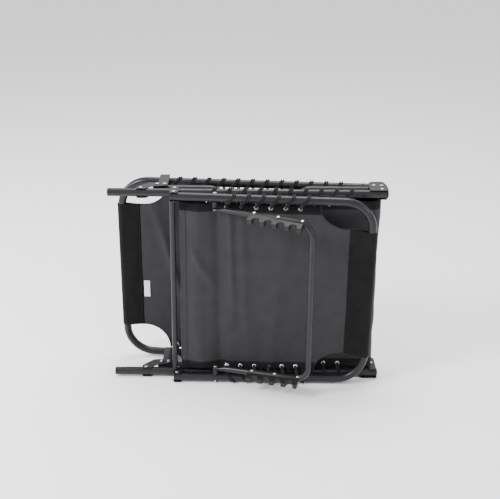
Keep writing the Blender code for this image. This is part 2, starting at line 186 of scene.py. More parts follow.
def noise_node(tree, where, scale, detail=3.0):
    node = tree.nodes.new("ShaderNodeTexNoise")
    node.inputs["Scale"].default_value = scale
    node.inputs["Detail"].default_value = detail
    tree.links.new(where, node.inputs["Vector"])
    return node.outputs["Fac"]


def wave_node(tree, where, direction, scale):
    node = tree.nodes.new("ShaderNodeTexWave")
    node.bands_direction = direction
    node.inputs["Scale"].default_value = scale
    tree.links.new(where, node.inputs["Vector"])
    return node.outputs["Fac"]


def ramp(tree, value, low, high, start=RAMP_START, end=RAMP_END):
    """Colour that runs from low to high as value runs from start to end."""
    node = tree.nodes.new("ShaderNodeValToRGB")
    node.color_ramp.elements[0].position = start
    node.color_ramp.elements[1].position = end
    node.color_ramp.elements[0].color = (*low, 1.0)
    node.color_ramp.elements[1].color = (*high, 1.0)
    tree.links.new(value, node.inputs["Fac"])
    return node.outputs["Color"]


def remap(tree, value, low, high):
    node = tree.nodes.new("ShaderNodeMapRange")
    node.inputs["From Min"].default_value = RAMP_START
    node.inputs["From Max"].default_value = RAMP_END
    node.inputs["To Min"].default_value = low
    node.inputs["To Max"].default_value = high
    tree.links.new(value, node.inputs["Value"])
    return node.outputs["Result"]


def combine(tree, operation, a, b):
    node = tree.nodes.new("ShaderNodeMath")
    node.operation = operation
    for socket, value in zip(node.inputs, (a, b)):
        if isinstance(value, float):
            socket.default_value = value
        else:
            tree.links.new(value, socket)
    return node.outputs["Value"]


def bump(tree, shader, height, distance, strength=1.0):
    node = tree.nodes.new("ShaderNodeBump")
    node.inputs["Distance"].default_value = distance
    node.inputs["Strength"].default_value = strength
    tree.links.new(height, node.inputs["Height"])
    tree.links.new(node.outputs["Normal"], shader.inputs["Normal"])


def coated_metal(name, low, high, roughness, coat):
    """Powder coat: a fine orange-peel skin with slight clouding and dull patches."""
    mat, tree, shader = new_material(name, roughness[0], 0.25)
    shader.inputs["Specular IOR Level"].default_value = 0.32
    shader.inputs["Coat Weight"].default_value = coat
    shader.inputs["Coat Roughness"].default_value = 0.22
    where = coordinate(tree, "Object", (1, 1, 1))
    cloud = noise_node(tree, where, 38.0, 5.0)
    tree.links.new(ramp(tree, cloud, low, high), shader.inputs["Base Color"])
    tree.links.new(remap(tree, noise_node(tree, where, 120.0), *roughness), shader.inputs["Roughness"])
    peel = noise_node(tree, where, 900.0, 2.0)
    bump(tree, shader, peel, 0.00012, 0.5)
    return mat


def moulded_plastic(name, low, high, roughness):
    """Black plastic with a fine spark-eroded grain and faint rubbing marks."""
    mat, tree, shader = new_material(name, roughness[0])
    shader.inputs["Specular IOR Level"].default_value = 0.3
    where = coordinate(tree, "Object", (1, 1, 1))
    rub = noise_node(tree, coordinate(tree, "Object", (1, 1, 6)), 60.0, 4.0)
    tree.links.new(ramp(tree, rub, low, high), shader.inputs["Base Color"])
    tree.links.new(remap(tree, rub, *roughness), shader.inputs["Roughness"])
    bump(tree, shader, noise_node(tree, where, 1400.0, 2.0), 0.0001, 0.6)
    return mat


def plated_steel(name, low, high, roughness):
    """Zinc plating, clouded and lightly scratched."""
    mat, tree, shader = new_material(name, roughness[0], 1.0)
    where = coordinate(tree, "Object", (1, 1, 1))
    cloud = noise_node(tree, where, 260.0, 4.0)
    tree.links.new(ramp(tree, cloud, low, high), shader.inputs["Base Color"])
    scratch = noise_node(tree, coordinate(tree, "Object", (1, 9, 1)), 500.0, 2.0)
    tree.links.new(remap(tree, scratch, *roughness), shader.inputs["Roughness"])
    bump(tree, shader, scratch, 0.00008, 0.4)
    return mat


def woven(name, low, high, yarn, depth, sheen, roughness, gloss=0.1):
    """Plain weave over the cloth's own UV map, which is in metres."""
    mat, tree, shader = new_material(name, roughness)
    shader.inputs["Specular IOR Level"].default_value = gloss
    shader.inputs["Sheen Weight"].default_value = sheen
    shader.inputs["Sheen Roughness"].default_value = 0.5
    where = coordinate(tree, "UV", (1, 1, 1))
    turns = 0.5 / yarn * 0.31831
    warp = wave_node(tree, where, "X", turns)
    weft = wave_node(tree, where, "Y", turns)
    cross = combine(tree, "ABSOLUTE", combine(tree, "SUBTRACT", warp, weft), 0.0)
    slub = noise_node(tree, coordinate(tree, "UV", (14, 1, 1)), 90.0, 3.0)
    height = combine(tree, "ADD", cross, combine(tree, "MULTIPLY", slub, 0.45))
    mottle = noise_node(tree, where, 26.0, 5.0)
    shade = combine(tree, "ADD", combine(tree, "MULTIPLY", cross, 0.22),
                    combine(tree, "MULTIPLY", mottle, 0.85))
    tree.links.new(ramp(tree, shade, low, high, 0.3, 0.8), shader.inputs["Base Color"])
    bump(tree, shader, height, depth, 0.8)
    return mat


def braided(name, low, high):
    """Elastic cord: slanting ribs round the cord and a dusty sheen."""
    mat, tree, shader = new_material(name, 0.8)
    shader.inputs["Specular IOR Level"].default_value = 0.15
    shader.inputs["Sheen Weight"].default_value = 0.06
    where = coordinate(tree, "UV", (1, 1, 1))
    rib = wave_node(tree, where, "DIAGONAL", 130.0)
    fuzz = noise_node(tree, where, 900.0, 3.0)
    shade = combine(tree, "ADD", combine(tree, "MULTIPLY", rib, 0.7), combine(tree, "MULTIPLY", fuzz, 0.3))
    tree.links.new(ramp(tree, shade, low, high, 0.2, 0.8), shader.inputs["Base Color"])
    bump(tree, shader, rib, 0.0004, 0.9)
    return mat


STEEL = coated_metal("powder_coat", (0.0080, 0.0081, 0.0105), (0.0125, 0.0126, 0.0160), (0.27, 0.38), 0.12)
PLATE_COAT = coated_metal("plate_coat", (0.0070, 0.0072, 0.009), (0.0120, 0.0122, 0.0150),
                          (0.32, 0.46), 0.08)
PLASTIC = moulded_plastic("black_plastic", (0.0045, 0.0045, 0.005), (0.0095, 0.0095, 0.0100), (0.42, 0.56))
ZINC = plated_steel("zinc", (0.42, 0.42, 0.43), (0.66, 0.66, 0.67), (0.24, 0.40))
GREY_CLOTH = woven("grey_cloth", (0.0140, 0.0138, 0.0165), (0.0215, 0.0212, 0.0250), 0.0011, 0.00020, 0.05,
                   0.62, 0.22)
BLACK_CLOTH = woven("black_cloth", (0.0035, 0.0035, 0.0039), (0.0080, 0.0080, 0.0086), 0.0009, 0.0002, 0.04,
                    0.80)
BINDING = woven("binding_tape", (0.006, 0.006, 0.0066), (0.016, 0.016, 0.017), 0.0007, 0.0002, 0.1, 0.8)
THREAD = woven("thread", (0.012, 0.012, 0.013), (0.032, 0.032, 0.034), 0.0005, 0.0001, 0.1, 0.7)
ELASTIC = braided("elastic", (0.0022, 0.0022, 0.0026), (0.0155, 0.0155, 0.0165))
LABEL = woven("label_tape", (0.62, 0.62, 0.61), (0.86, 0.86, 0.85), 0.0005, 0.0001, 0.1, 0.75)


# -------------------------------------------------------------------- meshes
def add_object(name, bm, mats, body, replaced=(), sharp=SHARP_EDGE):
    """A new piece from a bmesh, on its body, standing for its CAD nodes."""
    bmesh.ops.recalc_face_normals(bm, faces=bm.faces)
    mesh = bpy.data.meshes.new(name)
    bm.to_mesh(mesh)
    bm.free()
    for mat in mats:
        mesh.materials.append(mat)
    mesh.shade_smooth()
    mesh.set_sharp_from_angle(angle=math.radians(sharp))
    obj = bpy.data.objects.new(name, mesh)
    bpy.context.scene.collection.objects.link(obj)
    if body:
        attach(obj, body)
    if replaced:
        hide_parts(*replaced)
    return obj


def add_skin(bm, rings, close=True, uv=None, spans=None):
    """Quads between neighbouring rings; uv takes (length along, share round)."""
    length = 0.0
    for ring, following in zip(rings, rings[1:]):
        count = len(ring)
        step = (following[0].co - ring[0].co).length
        for i in range(count if close else count - 1):
            j = (i + 1) % count
            face = bm.faces.new((ring[i], ring[j], following[j], following[i]))
            if uv:
                turns = (i * spans, (i + 1) * spans)
                for loop, place in zip(face.loops, ((length, turns[0]), (length, turns[1]),
                                                    (length + step, turns[1]), (length + step, turns[0]))):
                    loop[uv].uv = place
        length += step


def add_caps(bm, rings):
    """Closes a skin at both ends."""
    bm.faces.new(rings[0])
    bm.faces.new(rings[-1])


def smooth_path(points, steps):
    """Catmull-Rom curve through the points."""
    padded = [2 * points[0] - points[1]] + list(points) + [2 * points[-1] - points[-2]]
    result = []
    for before, start, end, after in zip(padded, padded[1:], padded[2:], padded[3:]):
        for k in range(steps):
            t = k / steps
            result.append(0.5 * (2 * start + (end - before) * t
                                 + (2 * before - 5 * start + 4 * end - after) * t * t
                                 + (3 * start - before - 3 * end + after) * t ** 3))
    return result + [points[-1]]


def strand(bm, path, radius, sides=8):
    """Solid cord, wire or thread along a path, with a UV map in metres."""
    uv = bm.loops.layers.uv.verify()
    across = Vector((1, 0, 0.05))
    rings = []
    for i, point in enumerate(path):
        along = (path[min(i + 1, len(path) - 1)] - path[max(i - 1, 0)]).normalized()
        across = (across - along * across.dot(along)).normalized()
        side = across.cross(along)
        rings.append([bm.verts.new(point + radius * (side * math.cos(a) + across * math.sin(a)))
                      for a in (2 * math.pi * k / sides for k in range(sides))])
    add_skin(bm, rings, uv=uv, spans=2 * math.pi * radius / sides)
    add_caps(bm, rings)


def tube(name, path, radius, body, replaced, flat=None, normal=Vector((0, 1, 0)), sides=32):
    """Round tube whose ends are cut square, with a small bevel and a bore."""
    flat = flat or [(1.0, 1.0)] * len(path)
    stations = [(point, radius, shape) for point, shape in zip(path, flat)]
    edge, bore_depth = 0.0005, 0.014
    first = (path[1] - path[0]).normalized()
    last = (path[-2] - path[-1]).normalized()
    stations[0] = (path[0] + first * edge, radius, flat[0])
    stations[-1] = (path[-1] + last * edge, radius, flat[-1])
    for end, inward, shape in ((0, first, flat[0]), (len(path) - 1, last, flat[-1])):
        rim = [(path[end] + inward * bore_depth, radius - WALL, shape),
               (path[end] + inward * edge, radius - WALL, shape),
               (path[end], radius - WALL + edge / 2, shape),
               (path[end], radius - edge, shape)]
        stations = rim + stations if end == 0 else stations + rim[::-1]
    bm = bmesh.new()
    rings = []
    lead = (len(stations) - len(path)) // 2
    for i, (point, r, (thin, wide)) in enumerate(stations):
        k = min(max(i - lead, 0), len(path) - 1)
        along = (path[min(k + 1, len(path) - 1)] - path[max(k - 1, 0)]).normalized()
        across = (normal - along * normal.dot(along)).normalized()
        side = across.cross(along)
        rings.append([bm.verts.new(point + side * (math.cos(a) * r * thin)
                                   + across * (math.sin(a) * r * wide))
                      for a in (2 * math.pi * j / sides for j in range(sides))])
    add_skin(bm, rings)
    add_caps(bm, rings)
    return add_object(name, bm, [STEEL], body, replaced)


def turned(bm, centre, axis, profile, sides=24):
    """Solid turned about an axis from (radius, height) steps."""
    axis = Vector(axis).normalized()
    first = axis.orthogonal().normalized()
    second = axis.cross(first)
    rings = [[bm.verts.new(centre + axis * height + r * (first * math.cos(a) + second * math.sin(a)))
              for a in (2 * math.pi * k / sides for k in range(sides))] for r, height in profile]
    add_skin(bm, rings)
    add_caps(bm, rings)


def hoop(start, end, half, bend, lead=0.012, steps=16):
    """(run, z) places of a U: top rail, bend, end tube, bend, bottom rail."""
    sign = 1.0 if end > start else -1.0
    points = [(start, half), (start + sign * lead, half)]
    for k in range(steps + 1):
        a = math.pi / 2 * k / steps
        points.append((end - sign * bend * (1 - math.sin(a)), half - bend * (1 - math.cos(a))))
    return points + [(x, -z) for x, z in reversed(points)]


# -------------------------------------------------------------------- tubes
def build_tubes():
    for side, z in (("top", HALF), ("bottom", -HALF)):
        tube(f"seat_rail_{side}_tube", [at(0, 0, z), at(SEAT_LENGTH, 0, z)], RAIL_R, "seat",
             [f"seat_rail_{side}"])
    reach = INNER_FACE - GAP
    tube("crossbar_tube", [at(*CROSSBAR, reach), at(*CROSSBAR, -reach)], BAR_R, "seat", ["crossbar"])

    path = [at(x, back_depth(x, z), z) for x, z in hoop(BACK_START, BACK_END, HALF, SECTION_BEND)]
    tube("backrest_hoop", path, RAIL_R, "backrest", ["backrest_frame"])
    path = [at(x, foot_depth(x, z), z) for x, z in hoop(FOOT_START, FOOT_END, HALF, SECTION_BEND)]
    tube("foot_hoop", path, RAIL_R, "foot_section", ["foot_frame"])
    for name, start, end in (("rear_leg", REAR_LEG_START, REAR_LEG_END),
                             ("front_leg", FRONT_LEG_START, FRONT_LEG_END)):
        path = [at(x, LEG_DEPTH, z) for x, z in hoop(start, end, HALF, LEG_BEND)]
        tube(f"{name}_hoop", path, LEG_R, name, [f"{name}_frame"])

    flat_run, round_run = 0.010, 0.030
    squeeze = [PROP_ARM_START, flat_run, 0.016, 0.023, round_run]
    shape = [(0.35, 1.05), (0.35, 1.08), (0.5, 1.12), (0.85, 1.04), (1.0, 1.0)]
    bent = hoop(round_run, PROP_LENGTH, PROP_HALF, PROP_BEND)[1:-1]
    runs = [(run, PROP_HALF) for run in squeeze] + bent + [(run, -PROP_HALF) for run in reversed(squeeze)]
    factors = shape + [(1.0, 1.0)] * len(bent) + shape[::-1]
    normal = prop_point(0, 0, 1) - prop_point(0, 0)
    path = [prop_point(run, z) for run, z in runs]
    tube("prop_hoop", path, PROP_R, "prop", ["prop_frame"], factors, normal)


def build_plugs():
    """Domed caps in the four rail ends."""
    for node, x, sign in (("rear_plug", 0.0, -1), ("front_plug", SEAT_LENGTH, 1)):
        for side, z in (("top", HALF), ("bottom", -HALF)):
            bm = bmesh.new()
            crown = [(RAIL_R * math.cos(a), 0.0012 + 0.0022 * math.sin(a))
                     for a in (math.radians(d) for d in (0, 20, 40, 60, 75, 86))]
            spigot = RAIL_R - WALL - GAP
            profile = [(spigot, -0.008), (spigot, GAP), (RAIL_R - 0.0002, GAP)] + crown
            turned(bm, at(x, 0, z), (sign, 0, 0), profile, 32)
            add_object(f"{node}_{side}_cap", bm, [PLASTIC], "seat", [f"{node}_{side}"])


RIVETS = {
    "seat": ("back_hinge_pin", "hinge_plate_rivet", "corner_plate_rivet", "foot_hinge_pin", "front_leg_pin"),
    "prop": ("prop_pin",),
    "foot_section": ("foot_plate_rivet",),
    "rear_leg": ("rear_leg_pin", "rear_leg_rivet_1", "rear_leg_rivet_2"),
}
HEAD_R = 0.0054
SHANK_R = 0.003
HEAD_H = 0.0024


def rivet(bm, centre, axis, length, head_r=HEAD_R, head_h=HEAD_H):
    """Pan head at both ends of a shank, length over the heads."""
    half = length / 2
    dome = [(head_r * math.cos(a), head_h * (0.35 + 0.65 * math.sin(a)))
            for a in (math.radians(d) for d in (0, 25, 45, 65, 82))]
    upper = [(SHANK_R, 0.0), (head_r - 0.0003, 0.0)] + dome
    places = [(r, half - head_h + h) for r, h in upper]
    turned(bm, centre, axis, [(r, -h) for r, h in reversed(places)] + places)


def build_rivets():
    for body, names in RIVETS.items():
        for name in names:
            for side in ("top", "bottom"):
                node = f"{name}_{side}"
                low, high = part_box(node)
                bm = bmesh.new()
                rivet(bm, (low + high) / 2, (0, 0, 1), high.z - low.z)
                add_object(f"{node}_domed", bm, [ZINC], body, [node])


def soften(obj, width):
    """Small rounded bevel on the sharp edges."""
    edge = obj.modifiers.new("edge", "BEVEL")
    edge.width = width
    edge.segments = 2
    edge.limit_method = "ANGLE"
    edge.angle_limit = math.radians(50)


def rack_profile():
    """(run, off) steps along a rack's toothed side, with half-round notches."""
    chamfer, shoulder, steps = 0.004, 0.0008, 16
    corner = [(chamfer * (1 - math.cos(a)), chamfer * (1 - math.sin(a)))
              for a in (math.pi / 2 * k / 5 for k in range(6))]
    points = [(RACK_START + dx, RACK_TIP - dy) for dx, dy in corner]
    for i in range(NOTCH_COUNT):
        middle = FIRST_NOTCH + TOOTH_PITCH * i
        points.append((middle - NOTCH_R - shoulder, RACK_TIP))
        for k in range(steps + 1):
            a = math.pi * k / steps
            points.append((middle - NOTCH_R * math.cos(a), RACK_TIP - NOTCH_LIP - NOTCH_R * math.sin(a)))
        points.append((middle + NOTCH_R + shoulder, RACK_TIP))
    return points + [(RACK_END - dx, RACK_TIP - dy) for dx, dy in reversed(corner)]


def build_racks():
    half = RACK_THICK / 2
    down, out = math.sin(RACK_TILT), math.cos(RACK_TILT)
    for side, sign in (("top", 1), ("bottom", -1)):
        def turned_place(run, rise, off):
            middle = prop_point(run, sign * PROP_HALF, off * out + rise * down)
            return middle + Vector((0, 0, rise * out - off * down))

        bm = bmesh.new()
        rings = [[bm.verts.new(turned_place(run, rise, off)) for rise, off in
                  ((-half, RACK_BASE), (half, RACK_BASE), (half, tip), (-half, tip))]
                 for run, tip in rack_profile()]
        add_skin(bm, rings)
        add_caps(bm, rings)
        piece = add_object(f"rack_{side}_moulded", bm, [PLASTIC], "prop", [f"rack_{side}"])
        soften(piece, 0.0007)

        bm = bmesh.new()
        middle = (RACK_START + RACK_END) / 2
        length = RACK_END - RACK_START
        saddle = PROP_R + 0.0016
        rings = []
        for share in (-0.5, -0.49, 0.49, 0.5):
            swell = saddle - (0.0009 if abs(share) == 0.5 else 0.0)
            ring = []
            for k in range(24):
                a = 2 * math.pi * k / 24
                ring.append(bm.verts.new(turned_place(middle + length * share, swell * math.sin(a),
                                                      swell * math.cos(a) + 0.0006)))
            rings.append(ring)
        add_skin(bm, rings)
        add_caps(bm, rings)
        add_object(f"rack_{side}_saddle", bm, [PLASTIC], "prop")

        bm = bmesh.new()
        axis = turned_place(middle, 1.0, 0.0) - turned_place(middle, 0.0, 0.0)
        for run in RACK_RIVETS:
            rivet(bm, turned_place(run, 0.0, 0.0005), axis, 2 * saddle + 0.0034, 0.0042, 0.0018)
        add_object(f"rack_{side}_rivets", bm, [ZINC], "prop")


def build_spacers():
    for side in ("top", "bottom"):
        node = f"prop_spacer_{side}"
        low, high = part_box(node)
        radius = 0.0078
        tall = high.z - low.z
        lip = 0.0008
        profile = [(radius - lip, 0), (radius, lip), (radius, tall * 0.3), (radius - lip, tall * 0.38),
                   (radius - lip, tall * 0.62), (radius, tall * 0.7), (radius, tall - lip),
                   (radius - lip, tall)]
        bm = bmesh.new()
        turned(bm, Vector(((low.x + high.x) / 2, (low.y + high.y) / 2, low.z)), (0, 0, 1), profile)
        add_object(f"{node}_ribbed", bm, [PLASTIC], "prop", [node])


def dress_cad_nodes():
    """Plates and cradles keep their CAD shape, with softened edges and a finish."""
    for name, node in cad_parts.items():
        if node.hide_render:
            continue
        plastic = "cradle" in name
        node.data.materials.clear()
        node.data.materials.append(PLASTIC if plastic else PLATE_COAT)
        soften(node, 0.0004)


# --------------------------------------------------------------------- cloth
def half_width(x, wide_to, narrow_to):
    """Half the panel's width where it narrows to its sleeve through hollow corners."""
    reach = FABRIC_EDGE - SLEEVE_HALF
    run = CORNER_SHARE * (narrow_to - wide_to)
    if x <= wide_to:
        return FABRIC_EDGE
    if x >= wide_to + run:
        return SLEEVE_HALF
    return FABRIC_EDGE - reach * math.sin(math.acos(1 - (x - wide_to) / run))


def panel_columns(start, wide_to, narrow_to):
    """Places along the panel: even steps, then even turns round the hollow corners."""
    count = round((wide_to - start) / CLOTH_STEP)
    columns = [start + (wide_to - start) * k / count for k in range(count + 1)]
    if narrow_to > wide_to:
        run = CORNER_SHARE * (narrow_to - wide_to)
        columns += [wide_to + run * (1 - math.cos(math.pi / 2 * k / 20)) for k in range(1, 21)]
        rest = narrow_to - wide_to - run
        count = round(rest / CLOTH_STEP)
        columns += [wide_to + run + rest * k / count for k in range(1, count + 1)]
    return columns


def ripple(x, z, seed, amount):
    """Faint creases that run mostly across the width, and soft lumps."""
    long_fold = noise.noise(Vector((x * 22, z * 3.2, seed)))
    lump = noise.noise(Vector((x * 9, z * 9, seed + 5)))
    fine = noise.noise(Vector((x * 70, z * 40, seed + 9)))
    return amount * (0.9 * long_fold + 0.9 * lump + 0.16 * fine)


def panel(name, columns, width, depth, offset, laces, relief, body, node, mirror=None, shift=0.0, edge=0.0):
    """Cloth panel with black hems and an open hole at each eyelet."""
    first, pitch, count = laces
    bm = bmesh.new()
    uv = bm.loops.layers.uv.verify()
    half_count = round(FABRIC_EDGE / CLOTH_STEP)
    shares = [k / half_count for k in range(-half_count, half_count + 1)]
    rows, flats = [], []
    ends = [mirror - columns[k] if mirror else columns[k] for k in (0, -1)]
    for column in columns:
        x = mirror - column if mirror else column
        half = width(column)
        row, flat = [], []
        for share in shares:
            narrow = (FABRIC_EDGE - half) / (FABRIC_EDGE - SLEEVE_HALF)
            z = share * (half + edge * (1 - narrow)) + shift * narrow
            beat = 0.5 - 0.5 * math.cos(2 * math.pi * (x - first) / pitch)
            near_edge = max(0.0, (abs(z) - HEM_EDGE) / HEM) if half > LACE_END else 0.0
            z -= math.copysign(0.0022 * beat * near_edge ** 2, z)
            fade = min(1.0, min(abs(x - end) for end in ends) / RELIEF_FADE)
            y = depth(x, z) + offset + fade * relief(x, z) * (1 - 0.6 * near_edge) + 0.0008 * beat * near_edge
            row.append(bm.verts.new(at(x, y, z)))
            flat.append((x, share * half))
        rows.append(row)
        flats.append(flat)
    eyelets = [(first + pitch * i, sign * LACE_END) for i in range(count) for sign in (1, -1)]
    for i in range(len(rows) - 1):
        for j in range(len(shares) - 1):
            corners = ((i, j), (i + 1, j), (i + 1, j + 1), (i, j + 1))
            middle_x = sum(flats[a][b][0] for a, b in corners) / 4
            middle_z = sum(flats[a][b][1] for a, b in corners) / 4
            if any(math.hypot(middle_x - ex, middle_z - ez) < HOLE_R for ex, ez in eyelets):
                continue
            face = grid_face(bm, uv, rows, flats, i, j)
            face.material_index = 1 if abs(middle_z) > HEM_EDGE else 0
    cloth = add_object(name, bm, [GREY_CLOTH, BLACK_CLOTH], body, [node], CLOTH_SHARP)
    thicken(cloth)
    return cloth


def grid_face(bm, uv, rows, flats, i, j):
    """One square of a cloth's grid, with its flat places as the UV map."""
    corners = ((i, j), (i + 1, j), (i + 1, j + 1), (i, j + 1))
    face = bm.faces.new([rows[a][b] for a, b in corners])
    for loop, (a, b) in zip(face.loops, corners):
        loop[uv].uv = flats[a][b]
    return face


def flat_places(row, count, step):
    """UV places of count rows that lie step apart, from the lengths along one row."""
    lengths = [0.0]
    for a, b in zip(row, row[1:]):
        lengths.append(lengths[-1] + (b.co - a.co).length)
    return [[(length, step * j) for length in lengths] for j in range(count)]


def thicken(obj, thickness=FABRIC_THICK):
    solid = obj.modifiers.new("thickness", "SOLIDIFY")
    solid.thickness = thickness
    solid.offset = 0.0


def eyelet_rings(name, laces, depth, offset, body):
    """Rolled metal rings on both faces of the hem."""
    first, pitch, count = laces
    rim = [(EYELET_HOLE, -0.0012), (EYELET_HOLE, 0.0012), (EYELET_HOLE + 0.0007, 0.0019),
           (EYELET_HOLE + 0.0016, 0.0019), (EYELET_R - 0.0004, 0.0011), (EYELET_R, 0.0008),
           (EYELET_R, -0.0008), (EYELET_R - 0.0004, -0.0011), (EYELET_HOLE + 0.0016, -0.0019),
           (EYELET_HOLE + 0.0007, -0.0019)]
    sides = 20
    bm = bmesh.new()
    for i in range(count):
        for sign in (1, -1):
            x = first + pitch * i
            z = sign * LACE_END
            centre = at(x, depth(x, z) + offset, z)
            rings = [[bm.verts.new(centre + Vector((r * math.cos(a), h, r * math.sin(a))))
                      for a in (2 * math.pi * k / sides for k in range(sides))] for r, h in rim]
            add_skin(bm, rings + [rings[0]])
    return add_object(name, bm, [ZINC], body)


def lace_turn(slab_set):
    """(y, z) steps from the eyelet's front, round the rail, to the cloth's back."""
    ring = RAIL_R + CORD_R
    clear = FABRIC_THICK / 2 + GAP + CORD_R
    inward = HALF - LACE_END
    front = Vector((slab_set - clear, -inward))
    back = Vector((slab_set * 1.27 + clear, -inward))
    start = math.atan2(front.y, front.x) - math.acos(min(1.0, ring / front.length))
    end = math.atan2(back.y, back.x) + math.acos(min(1.0, ring / back.length)) - 2 * math.pi
    steps = 9
    arc = [Vector((math.cos(a), math.sin(a))) * ring
           for a in (start + (end - start) * k / steps for k in range(steps + 1))]
    return [tuple(point) for point in [front] + arc + [back]]


def lacing(name, laces, depth, slab_set, body):
    """Doubled elastic cord: eyelet, round the rail, back to the next eyelet."""
    first, pitch, count = laces
    turn = lace_turn(slab_set)
    for side, sign in (("top", 1), ("bottom", -1)):
        bm = bmesh.new()
        for shift in (-CORD_SPREAD, CORD_SPREAD):
            path = []
            for i in range(count):
                steps = []
                for k, step in enumerate(turn):
                    lean = math.sin(math.pi / 2 * min(1.0, 1.6 * k / (len(turn) - 1)))
                    steps.append((first + pitch * i + LACE_LEAN * lean, *step))
                if i < count - 1:
                    steps.append((first + pitch * (i + 1) - 0.002, *turn[-1]))
                    steps.append((first + pitch * (i + 1), turn[-1][0] * 0.5 + turn[0][0] * 0.5, turn[0][1]))
                for x, dy, dz in steps:
                    plane = depth(x, sign * (LACE_END if dz == turn[0][1] else HALF))
                    spread = shift * (0.45 if dz == turn[0][1] else 1.0)
                    path.append(at(x + spread, plane + dy, sign * (HALF + dz)))
            strand(bm, smooth_path(path, 3), CORD_R)
        add_object(f"{name}_{side}_cord", bm, [ELASTIC], body, [f"{name}_{side}"])


def sleeve(name, stitch_x, tube_x, depth, offset, body, seed, shift):
    """Black end sleeve: from its seam round the end tube and back to the seam."""
    radius = RAIL_R + 0.0012
    sign = 1.0 if tube_x > stitch_x else -1.0
    columns = round(2 * SLEEVE_HALF / SLEEVE_STEP)
    bm = bmesh.new()
    uv = bm.loops.layers.uv.verify()
    rows = []
    for j in range(columns + 1):
        z = shift - SLEEVE_HALF + 2 * SLEEVE_HALF * j / columns
        seam = Vector((stitch_x, depth(stitch_x, z) + offset))
        centre = Vector((tube_x, depth(tube_x, z)))
        legs = []
        for side in (-1, 1):
            edge = centre + Vector((0, side * radius))
            start = seam + Vector((0, side * 0.0009))
            legs.append([start.lerp(edge, k / 14) for k in range(14)])
        arc = [centre + radius * Vector((sign * math.cos(a), math.sin(a)))
               for a in (-math.pi / 2 + math.pi * k / 16 for k in range(17))]
        outline = legs[0] + arc + legs[1][::-1]
        row = []
        for k, point in enumerate(outline):
            share = k / (len(outline) - 1)
            slack = math.sin(math.pi * min(1.0, min(share, 1 - share) / 0.3))
            side = -1 if share < 0.5 else 1
            pucker = 0.0011 * noise.noise(Vector((point.x * 30, z * 55, seed + side)))
            pucker += 0.0022 * noise.noise(Vector((point.x * 12, z * 12, seed + side + 3)))
            row.append(bm.verts.new(at(point.x, point.y + slack * pucker, z)))
        rows.append(row)
    flats = flat_places(rows[0], columns + 1, SLEEVE_STEP)
    for j in range(columns):
        for k in range(len(rows[0]) - 1):
            grid_face(bm, uv, rows, flats, j, k)
    piece = add_object(name, bm, [BLACK_CLOTH], body, (), CLOTH_SHARP)
    thicken(piece)
    return piece


def fold_strip(name, start, end, reach, seed):
    """Cloth that turns from one section's panel to the next in a loose U."""
    columns = round(2 * FABRIC_EDGE / CLOTH_STEP)
    steps = 20
    bm = bmesh.new()
    uv = bm.loops.layers.uv.verify()
    rows = []
    for j in range(columns + 1):
        z = -FABRIC_EDGE + 2 * FABRIC_EDGE * j / columns
        first = Vector(start(z))
        last = Vector(end(z))
        pull = reach * (1 + 0.16 * noise.noise(Vector((seed, z * 7, 0))))
        handles = (first, first + Vector((pull, 0)), last + Vector((pull, 0)), last)
        row = []
        for k in range(steps + 1):
            t = k / steps
            weights = ((1 - t) ** 3, 3 * t * (1 - t) ** 2, 3 * t * t * (1 - t), t ** 3)
            point = sum((w * h for w, h in zip(weights, handles)), Vector((0, 0)))
            slack = math.sin(math.pi * t)
            wave = 0.0016 * noise.noise(Vector((t * 3, z * 24, seed + 2)))
            row.append(bm.verts.new(at(point.x + slack * wave, point.y, z)))
        rows.append(row)
    flats = flat_places(rows[0], columns + 1, CLOTH_STEP)
    for j in range(columns):
        for k in range(steps):
            face = grid_face(bm, uv, rows, flats, j, k)
            middle = -FABRIC_EDGE + CLOTH_STEP * (j + 0.5)
            face.material_index = 1 if abs(middle) > HEM_EDGE else 0
    strip = add_object(name, bm, [GREY_CLOTH, BLACK_CLOTH], None, (), CLOTH_SHARP)
    blend_from, blend_to = (at(*place(0.0), 0.0) for place in (start, end))
    blend_to.x = blend_from.x
    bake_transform(strip)
    thicken(strip)
    return strip, flats[0][-1][0]


def binding(bm, depth, offset, wide_to, narrow_to, mirror, relief, shift, edge):
    """Tape along the two hollow corners of a panel."""
    run = CORNER_SHARE * (narrow_to - wide_to)
    reach = FABRIC_EDGE - SLEEVE_HALF
    for sign in (1, -1):
        path = []
        for k in range(25):
            a = math.pi / 2 * k / 24
            column = wide_to + run * (1 - math.cos(a))
            narrow = math.sin(a)
            z = sign * (FABRIC_EDGE - reach * narrow + edge * (1 - narrow)) + shift * narrow
            x = mirror - column if mirror else column
            path.append(at(x, depth(x, z) + offset + relief(x, z), z))
        x = mirror - narrow_to if mirror else narrow_to
        path.append(at(x, depth(x, path[-1].z - ORIGIN.z) + offset, sign * SLEEVE_HALF + shift))
        strand(bm, path, BINDING_R)


def stitches(bm, places, pitch=0.0042, length=0.0029, radius=0.00032):
    """Row of short threads along a line of places."""
    travelled, last = 0.0, places[0]
    for point in places[1:]:
        travelled += (point - last).length
        if travelled >= pitch:
            along = (point - last).normalized() * length
            strand(bm, [point - along, point - along * 0.5, point], radius, 4)
            travelled = 0.0
        last = point


